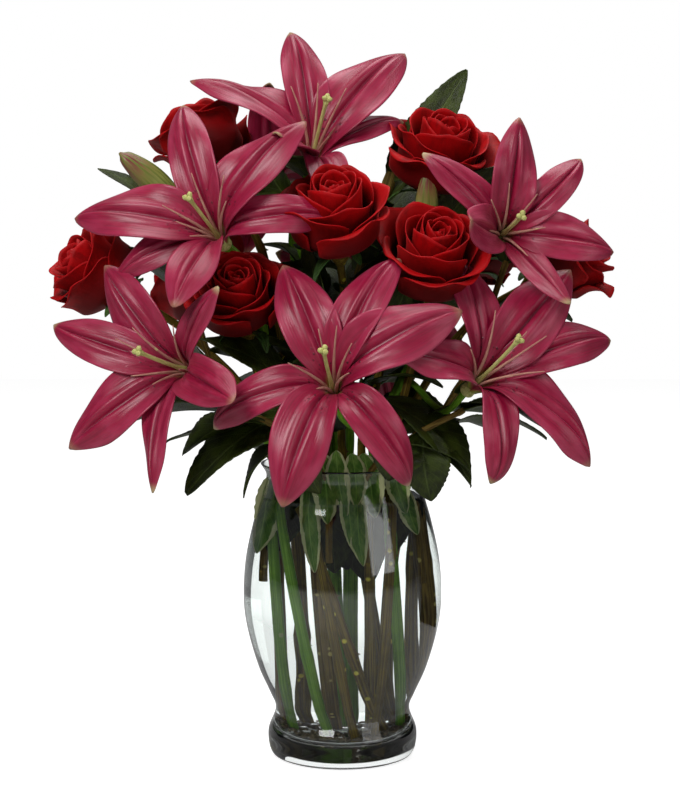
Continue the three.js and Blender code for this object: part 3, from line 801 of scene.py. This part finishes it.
def tepal_surface(base, axis, row, broad, dice):
    """A tepal that opens from the throat, curls back, twists a little and has wavy edges."""
    clock, spread, curl, length, sway = row
    outward = spoke(*across(axis), radians(clock))
    sideways = outward.cross(axis)
    steps = TEPAL_STEPS

    def lean(t):
        return radians(THROAT_LEAN + (spread - THROAT_LEAN) * smooth(t / 0.45)
                            + curl * rise(t, 0.4) ** 2)
    spots = [base + (outward * (3.4 if broad else 4.4) + axis * (0.9 if broad else 0.0)) * MM]
    for i in range(steps):
        angle = lean((i + 0.5) / steps)
        step = (axis * cos(angle) + outward * sin(angle)) * length / steps * MM
        spots.append(spots[-1] + step)
    half = length * (0.37 if broad else 0.27) / 2
    phase = dice.uniform(0, 6.28)
    ripple = dice.uniform(1.4, 2.6) * (1.0 if broad else 0.6)
    ripples = dice.uniform(9, 13)
    twist = radians(dice.uniform(-26, 26))

    def place(t, v):
        s = 2 * v - 1
        share = t * steps
        i = min(int(share), steps - 1)
        spot = spots[i].lerp(spots[i + 1], share - i)
        angle = lean(t)
        face = axis * sin(angle) - outward * cos(angle)
        width = 0.5 + 1.8 * (1 - t) ** 2
        width += half * sin(pi * t ** 1.08) ** 0.72 * (0.5 + 0.5 * smooth(t / 0.36))
        hollow = (0.45 * (1 - t) - 0.55 * smooth((t - 0.35) / 0.5)) * width * s * s
        groove = -2.3 * exp(-(s / 0.09) ** 2)
        groove += 0.9 * exp(-((abs(s) - 0.25) / 0.13) ** 2)
        groove *= smooth(t / 0.1) * smooth((1 - t) / 0.25) * width / 12
        wave = ripple * s * s * sin(ripples * t + phase + s) * sin(pi * t)
        flat = spoke(sideways, face, twist * t)
        out = spot + flat * (s * width) * MM + face * (hollow + groove + wave) * MM
        return out + sideways * sway * t * t * MM
    return place


def pistil_shape(skin, base, axis, bend):
    """The thick style and the three-lobed stigma at its end."""
    steps = 16
    route = [base + (axis * (1.8 + (PISTIL_LENGTH - 5) * i / steps) + bend * (i / steps) ** 2) * MM
             for i in range(steps + 1)]

    def thickness(t):
        ovary = 0.9 * exp(-((t - 0.08) / 0.12) ** 2)
        return 1.25 + ovary + 0.9 * rise(t, 0.85) ** 2
    skin.tube(route, thickness, 12, 0.2)
    heading = (route[-1] - route[-2]).normalized()
    path = ((-0.6, 0.2), (1.0, 1.1), (1.9, 1.9), (2.0, 2.9), (1.5, 3.5))
    widths = [1.2, 1.75, 1.9, 1.6, 0.6]
    for lobe in range(3):
        outward = spoke(*across(heading), radians(120 * lobe + 20))
        lobe_route = [route[-1] + (heading * high + outward * far) * MM for high, far in path]
        skin.tube(lobe_route, lambda t: widths[round(t * 4)], 10, 0.9)


class BOUQUET_OT_lilies(bpy.types.Operator):
    """Makes every lily's tepals, pistil and stamens"""

    bl_idname = "bouquet.lilies"
    bl_label = "Lilies"

    def execute(self, context):
        settings = context.scene.bouquet
        tepal = tepal_material(settings)
        green = stem_material("pistil_green")
        pink = stem_material("filament_pink")
        for number, (turn, tilt, broad_first, rows) in enumerate(LILIES, 1):
            dice = random.Random(40 + number)
            axis = facing(turn, tilt)
            up, right = across(axis)
            base = throat_of(number)
            skin = Skin()
            for i, row in enumerate(rows):
                broad = (i % 2 == 0) == broad_first
                variety = dice.uniform(0.0, 0.4) + (0.0 if broad else 0.6)
                surface = tepal_surface(base, axis, row, broad, dice)
                skin.grid(surface, TEPAL_STEPS, 28, variety)
            skin.finish(f"lily_{number}_tepals", tepal, "lily_tepal", f"lily_tepals_{number}",
                        thickness=settings.tepal_thickness)

            skin = Skin()
            bend = up * dice.uniform(0.5, 3.0) + right * dice.uniform(-2.0, 2.0)
            pistil_shape(skin, base, axis, bend)
            core = [base + axis * height * MM for height in (-6.2, -5.0, -2.0, 0.5, 1.6)]
            skin.tube(core, lambda t: 3.2 + 2.0 * sin(pi * min(t + 0.2, 1.0)), 16, 0.1)
            skin.finish(f"lily_{number}_pistil", green, "pistil", f"lily_pistil_{number}")

            skin = Skin()
            for clock, _, _, length, _ in rows:
                outward = spoke(up, right, radians(clock + dice.uniform(-14, 14)))
                reach = 0.47 * length * dice.uniform(0.86, 1.04)
                lean = dice.uniform(15, 24)
                route = [base + (axis * (1.5 + reach * i / 12)
                                 + outward * (2.8 + lean * (i / 12) ** 1.7)
                                 + up * 2.5 * (i / 12) ** 3) * MM for i in range(13)]
                skin.tube(route, lambda t: 1.15 - 0.8 * t ** 1.8, 8, dice.random())
            skin.finish(f"lily_{number}_stamens", pink, "filament", f"lily_stamens_{number}")
        return {"FINISHED"}


# ---- stems ----

def stem_route(foot, neck, end, axis):
    """A stem from its foot through the vase's neck to its end, which points along axis."""
    low = from_base((foot[0], foot[1], STEM_FOOT))
    high = from_base((neck[0], neck[1], 0))
    high.z = NECK_LEVEL
    reach = (end - high).length
    before = end - axis * 0.3 * reach
    after = high + (high - low).normalized() * 0.18 * reach
    return smooth_route([low, low.lerp(high, 0.5), high, after, before, end], STEM_STEPS)


def bud_base(number):
    turn, tilt, length, _ = BUDS[number - 1]
    return centre_of(f"lily_bud_{number}") - facing(turn, tilt) * length * 0.5 * MM


def shoot_end(name):
    """Where a stem or shoot meets its lily or bud, and the way it faces there."""
    kind, number = name.split("_")
    number = int(number)
    if kind == "lily":
        axis = facing(*LILIES[number - 1][:2])
        return throat_of(number) - axis * 6 * MM, axis
    return bud_base(number), facing(*BUDS[number - 1][:2])


def knobbly(radius, knots, swell):
    """A stem's radius, which tapers a little and swells softly at its knots."""
    def width(t):
        bumps = sum(exp(-((t - knot) / 0.012) ** 2) for knot in knots)
        return radius * (1 + swell * bumps - 0.12 * t)
    return width


class BOUQUET_OT_lily_stems(bpy.types.Operator):
    """Makes the lilies' green stems, their side shoots and the buds"""

    bl_idname = "bouquet.lily_stems"
    bl_label = "Lily stems and buds"

    def execute(self, context):
        green = stem_material("lily_stalk")
        leaf = leaf_material("lily_leaf", (0.035, 0.11, 0.012), (0.11, 0.26, 0.035))
        for number, (foot, neck, name, shoots) in enumerate(LILY_STEMS, 1):
            dice = random.Random(70 + number)
            end, axis = shoot_end(name)
            route = stem_route(foot, neck, end, axis)
            skin = Skin()
            knots = [dice.uniform(0.08, 0.9) for _ in range(6)]
            skin.tube(route, knobbly(3.4, knots, 0.16), 14, dice.random())
            above_neck = route[2 * (STEM_STEPS - 1):]
            for share, target in shoots:
                start, heading = along_route(above_neck, share)
                finish, facing_way = shoot_end(target)
                length = (finish - start).length
                shoot = smooth_route([start, start + heading * 0.2 * length,
                                      finish - facing_way * 0.35 * length, finish], 8)
                skin.tube(shoot, lambda t: 2.5 - 0.3 * sin(pi * t), 12, dice.random())
            node_name = f"lily_stem_{number}"
            skin.finish(f"{node_name}_stalk", green, "lily_stem_green", node_name)
            leaves = Skin()
            for knot in knots:
                start, heading = along_route(route, 0.35 + 0.34 * knot)
                if start.z < NECK_LEVEL + 25 * MM:
                    continue
                around = dice.uniform(0, 2 * pi)
                outward = Vector((cos(around), sin(around), 0.3))
                tip = start + (heading * 30 + outward * 38) * MM
                add_leaf(leaves, start, tip, dice.uniform(10, 14), dice.uniform(-40, 40), 6,
                         (20, 8), dice)
            if leaves.points:
                leaves.finish(f"{node_name}_leaves", leaf, "leaf", thickness=0.5)
        self.make_buds()
        return {"FINISHED"}

    def make_buds(self):
        material = bud_material()
        for number, (turn, tilt, length, radius) in enumerate(BUDS, 1):
            axis = facing(turn, tilt)
            up, right = across(axis)
            base = bud_base(number)

            def place(t, v):
                angle = 2 * pi * v
                swell = 0.28 + 0.72 * sin(pi * min(1.0, 0.08 + 0.92 * t) ** 0.9) ** 0.8
                swell *= 1 - smooth((t - 0.9) / 0.1) * 0.7
                lobes = 1 + 0.1 * cos(3 * angle) + 0.04 * cos(6 * angle)
                out = spoke(up, right, angle)
                return base + (axis * length * t + out * radius * swell * lobes) * MM
            skin = Skin()
            skin.grid(place, 24, 30, 0.5, wrap=True)
            skin.finish(f"bud_{number}", material, "bud", f"lily_bud_{number}")


# ---- roses ----

def rose_petal(base, axis, size, share, clock, dice):
    """A petal from the tight spiral heart at share 0 to the big outer guard petals at 1."""
    up, right = across(axis)
    outer = smooth((share - 0.45) / 0.55)
    belly = 1.2 + 19.5 * share ** 0.8 + 4.5 * outer
    start = 1.2 + 5.8 * share
    height = 40 + 5 * sin(pi * share) + dice.uniform(-1.5, 1.5) - 5 * outer
    pinch = -0.45 * belly * (1 - smooth(share / 0.45))
    flare = pinch + (9.5 + dice.uniform(-1.5, 2.5)) * outer
    drop = (4.5 + dice.uniform(-1, 4)) * outer
    half_turn = radians(118 - 62 * share ** 0.8)
    corner = 5.0 * outer
    point = 3.5 * outer + 1.0
    phase = dice.uniform(0, 6.28)
    lean = dice.uniform(0.06, 0.15)

    def place(t, v):
        s = 2 * v - 1
        edge = abs(s)
        u = t * (1 - (0.1 + 0.24 * share) * edge ** 2.6)
        radius = start + (belly - start) * smooth(u / 0.42) ** 0.8 + flare * rise(u, 0.58) ** 1.7
        radius += corner * edge ** 2.2 * u ** 3
        radius += (0.4 + outer) * sin(4.2 * s + phase) * u ** 4
        radius *= 1 + lean * s * (1 - 0.3 * share)
        high = height * u - (drop + 2.0 * outer * edge) * rise(u, 0.78) ** 1.6
        high += point * exp(-(s / 0.22) ** 2) * t ** 8
        turn = clock + s * half_turn * (0.42 + 0.58 * smooth(u / 0.4))
        return base + (axis * high + spoke(up, right, turn) * radius) * size * MM
    return place


class BOUQUET_OT_roses(bpy.types.Operator):
    """Makes every rose's bloom and its stalk with hip, sepals and thorns"""

    bl_idname = "bouquet.roses"
    bl_label = "Roses"

    def execute(self, context):
        settings = context.scene.bouquet
        velvet = rose_material(settings)
        bark = stem_material("rose_stalk")
        sepal = leaf_material("rose_sepal", (0.03, 0.085, 0.012), (0.09, 0.19, 0.035))
        for number, (turn, tilt, size, foot, neck) in enumerate(ROSES, 1):
            dice = random.Random(100 + number)
            axis = facing(turn, tilt)
            base = centre_of(f"rose_bloom_{number}") - axis * ROSE_MIDDLE * size * MM
            skin = Skin()
            for i in range(settings.petals):
                share = i / (settings.petals - 1)
                clock = radians(GOLDEN_TURN * i + dice.uniform(-14, 14) + 40 * number)
                petal = rose_petal(base, axis, size * ROSE_FULLNESS, share, clock, dice)
                skin.grid(petal, 20, 22, dice.random())
            skin.finish(f"rose_{number}_bloom", velvet, "rose_petal", f"rose_bloom_{number}",
                        thickness=0.55)
            self.make_stalk(number, base, axis, foot, neck, bark, sepal, dice)
        return {"FINISHED"}

    def make_stalk(self, number, base, axis, foot, neck, bark, sepal, dice):
        route = stem_route(foot, neck, base - axis * ROSE_HIP * MM, axis)
        skin = Skin()
        knots = [dice.uniform(0.05, 0.85) for _ in range(5)]
        skin.tube(route, knobbly(3.0, knots, 0.22), 14, dice.random())
        for share in knots:
            start, heading = along_route(route, share)
            out = heading.orthogonal().normalized()
            thorn = [start + (out - heading * 0.25) * reach * MM for reach in (2.4, 4.2, 6.2)]
            skin.tube(thorn, lambda t: 1.4 * (1 - t) + 0.12, 6, dice.random())
        hip = [base + axis * height * MM for height in (-11, -8, -5, -2, 1)]
        widths = [3.2, 4.4, 6.4, 6.8, 5.2]
        skin.tube(hip, lambda t: widths[round(t * 4)], 16, 0.3)
        skin.finish(f"rose_{number}_stalk", bark, "rose_stem_bark", f"rose_stem_{number}")
        sepals = Skin()
        for i in range(5):
            out = spoke(*across(axis), radians(72 * i + dice.uniform(-8, 8)))
            start = base + (out * 4.5 - axis * 1.0) * MM
            tip = base + (out * dice.uniform(24, 30) + axis * dice.uniform(-12, 10)) * MM
            add_leaf(sepals, start, tip, 9, 0, 4, (14, 6), dice)
        sepals.finish(f"rose_{number}_sepals", sepal, "leaf", thickness=0.6)


# ---- foliage ----

def leaf_surface(start, tip, width, roll, sag, dice):
    """A leaf folded along its midrib, with wavy, finely toothed edges."""
    chord = tip - start
    length = chord.length
    heading = chord.normalized()
    flat = heading.cross(UP if abs(heading.z) < 0.8 else FRONT).normalized()
    lift = flat.cross(heading)
    sideways = spoke(flat, lift, radians(roll))
    face = sideways.cross(heading)
    phase = dice.uniform(0, 6.28)
    wave = width * 0.03
    bend = dice.uniform(-0.05, 0.05) * length

    def place(t, v):
        s = 2 * v - 1
        half = 0.5 + width / 2 * sin(pi * t ** 0.8) ** 0.75
        half *= 1 + 0.035 * sin(t * 95) * (abs(s) > 0.99)
        fold = 0.2 * half * abs(s) ** 1.3
        ripple = wave * s * s * sin(9 * t + phase + 2 * s)
        curl = -0.1 * length / MM * t ** 3
        spot = start + heading * t * length + lift * sag * sin(pi * t) * MM
        spot += sideways * (s * half * MM + bend * sin(pi * t))
        return spot + face * (fold + ripple + curl * 0.3) * MM
    return place


def add_leaf(skin, start, tip, width, roll, sag, steps, dice):
    """Adds a leaf with so many steps along and across."""
    surface = leaf_surface(start, tip, width, roll, sag, dice)
    skin.grid(surface, *steps, dice.random())


def add_leaves(skin, rows, sag, steps, dice):
    for base, tip, width, roll in rows:
        add_leaf(skin, from_base(base), from_base(tip), width, roll, sag, steps, dice)


class BOUQUET_OT_foliage(bpy.types.Operator):
    """Makes the leafy sprigs, the pruned branch end and the leaves in the vase's neck"""

    bl_idname = "bouquet.foliage"
    bl_label = "Foliage"

    def execute(self, context):
        settings = context.scene.bouquet
        bark = stem_material("branch_bark")
        leaf = leaf_material("sprig_leaf", settings.leaf_dark, settings.leaf_light)
        self.make_sprigs(bark, leaf)
        dice = random.Random(290)
        self.make_filler(leaf, dice)

        skin = Skin()
        route = smooth_route([from_base(point) for point in STUB], 14)
        skin.tube(route, knobbly(5.4, (0.3, 0.55, 0.8), 0.12), 18, 0.4)
        skin.finish("branch_end", bark, "bark", "branch_stub")

        sunken = leaf_material("sunken_leaf", (0.01, 0.014, 0.003), (0.03, 0.044, 0.006),
                               specular=0.05)
        skin = Skin()
        add_leaves(skin, SUNKEN_LEAVES, 4, (28, 12), dice)
        skin.finish("sunken_leaves", sunken, "leaf", thickness=0.5)

        variegated = leaf_material("neck_leaf", (0.11, 0.26, 0.04), (0.26, 0.44, 0.09),
                                   (0.8, 0.84, 0.44), 0.1)
        skin = Skin()
        add_leaves(skin, NECK_LEAVES, 3, (24, 10), random.Random(300))
        skin.finish("neck_leaves", variegated, "leaf", thickness=0.5)
        return {"FINISHED"}

    def make_sprigs(self, bark, leaf):
        for number, (name, radius, points, leaves) in enumerate(SPRIGS):
            dice = random.Random(200 + number)
            route = smooth_route([from_base(point) for point in points], 14)
            skin = Skin()
            knots = [share for share, *_ in leaves]
            skin.tube(route, knobbly(radius, knots, 0.25), 14, dice.random())
            skin.finish(f"{name}_wood", bark, "bark", name)
            blades = Skin()
            for share, x, y, z, width, roll, sag in leaves:
                start = along_route(route, share)[0]
                add_leaf(blades, start, from_base((x, y, z)), width, roll, sag, (36, 16), dice)
            blades.finish(f"{name}_leaves", leaf, "leaf", thickness=0.6)

    def make_filler(self, leaf, dice):
        """The broad collar leaves, and leaves on a rising spiral in the heart of the bunch."""
        low, climb = 225, 150
        skin = Skin()
        add_leaves(skin, COLLAR_LEAVES, 8, (40, 18), dice)
        for i in range(CORE_LEAVES):
            around = 2.4 * i
            height = low + climb * (i / CORE_LEAVES) + dice.uniform(-12, 12)
            reach = dice.uniform(62, 92) - 0.12 * (height - low)
            out = Vector((cos(around) * 1.2, sin(around) * 0.8 + 0.12, 0))
            base = Vector((0, 14, height)) + out * 14
            tip = Vector((0, 10, height + dice.uniform(-6, 34))) + out * reach
            add_leaf(skin, from_base(base), from_base(tip), dice.uniform(32, 42),
                     dice.uniform(-50, 50), 8, (28, 12), dice)
        skin.finish("filler_leaves", leaf, "leaf", thickness=0.6)


# ---- panel and registration ----

OPERATORS = (BOUQUET_OT_stage, BOUQUET_OT_vase, BOUQUET_OT_lilies, BOUQUET_OT_lily_stems,
             BOUQUET_OT_roses, BOUQUET_OT_foliage)


class BOUQUET_PT_panel(bpy.types.Panel):
    """Lists the steps that make the bunch"""

    bl_idname = "BOUQUET_PT_panel"
    bl_label = "Lilies in a Vase"
    bl_space_type = "VIEW_3D"
    bl_region_type = "UI"
    bl_category = "Bouquet"

    def draw(self, context):
        for operator in OPERATORS:
            self.layout.operator(operator.bl_idname)
        for name in BouquetSettings.__annotations__:
            self.layout.prop(context.scene.bouquet, name)


CLASSES = (BouquetSettings, *OPERATORS, BOUQUET_PT_panel)


def register():
    for kind in CLASSES:
        bpy.utils.register_class(kind)
    bpy.types.Scene.bouquet = bpy.props.PointerProperty(type=BouquetSettings)


def unregister():
    del bpy.types.Scene.bouquet
    for kind in reversed(CLASSES):
        bpy.utils.unregister_class(kind)


def main():
    register()
    bpy.ops.bouquet.stage()
    bpy.ops.bouquet.vase()
    bpy.ops.bouquet.lilies()
    bpy.ops.bouquet.lily_stems()
    bpy.ops.bouquet.roses()
    bpy.ops.bouquet.foliage()


if __name__ == "__main__":
    main()
